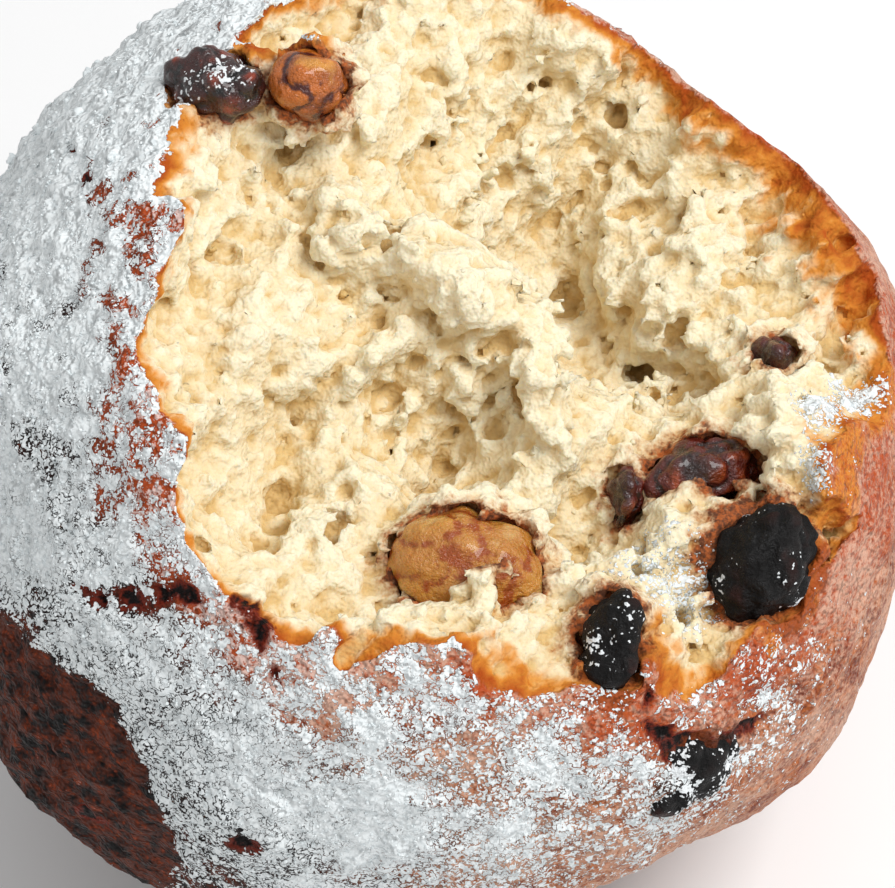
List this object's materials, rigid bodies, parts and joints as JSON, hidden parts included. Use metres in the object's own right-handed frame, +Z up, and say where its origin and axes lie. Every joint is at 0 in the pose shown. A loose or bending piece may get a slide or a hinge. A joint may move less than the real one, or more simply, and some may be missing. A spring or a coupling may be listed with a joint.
{
  "type": "oliebol",
  "caption": "Ball of deep-fried raisin dough dusted with sugar, bitten open at the top so that the pale crumb and the raisins show.",
  "frame": {"origin": "middle of the bounding box in X and Y, on the surface that the ball rests on", "axes": "+Z up; the bite opens upwards and leans towards -Y and a little towards +X"},
  "size_m": [0.0781, 0.0793, 0.0746],
  "materials": {
    "dough": "dull, soft crumb inside a browned fried crust",
    "dark_raisin": "dark, wrinkled, half glossy",
    "amber_raisin": "amber, sticky, half clear",
    "sugar": "dry white powder in soft clumps"
  },
  "bodies": {
    "root": {"dough": "dough", "raisin_rim": "dark_raisin", "sultana_rim": "amber_raisin", "raisin_socket": "dark_raisin", "raisin_inner": "dark_raisin", "raisin_front": "dark_raisin", "raisin_crack": "dark_raisin", "sultana_front": "amber_raisin", "raisin_sliver": "dark_raisin", "raisin_wall": "dark_raisin", "raisin_left": "dark_raisin", "raisin_low_left": "dark_raisin", "raisin_back_high": "dark_raisin", "raisin_back_low": "dark_raisin"}
  },
  "joints": []
}
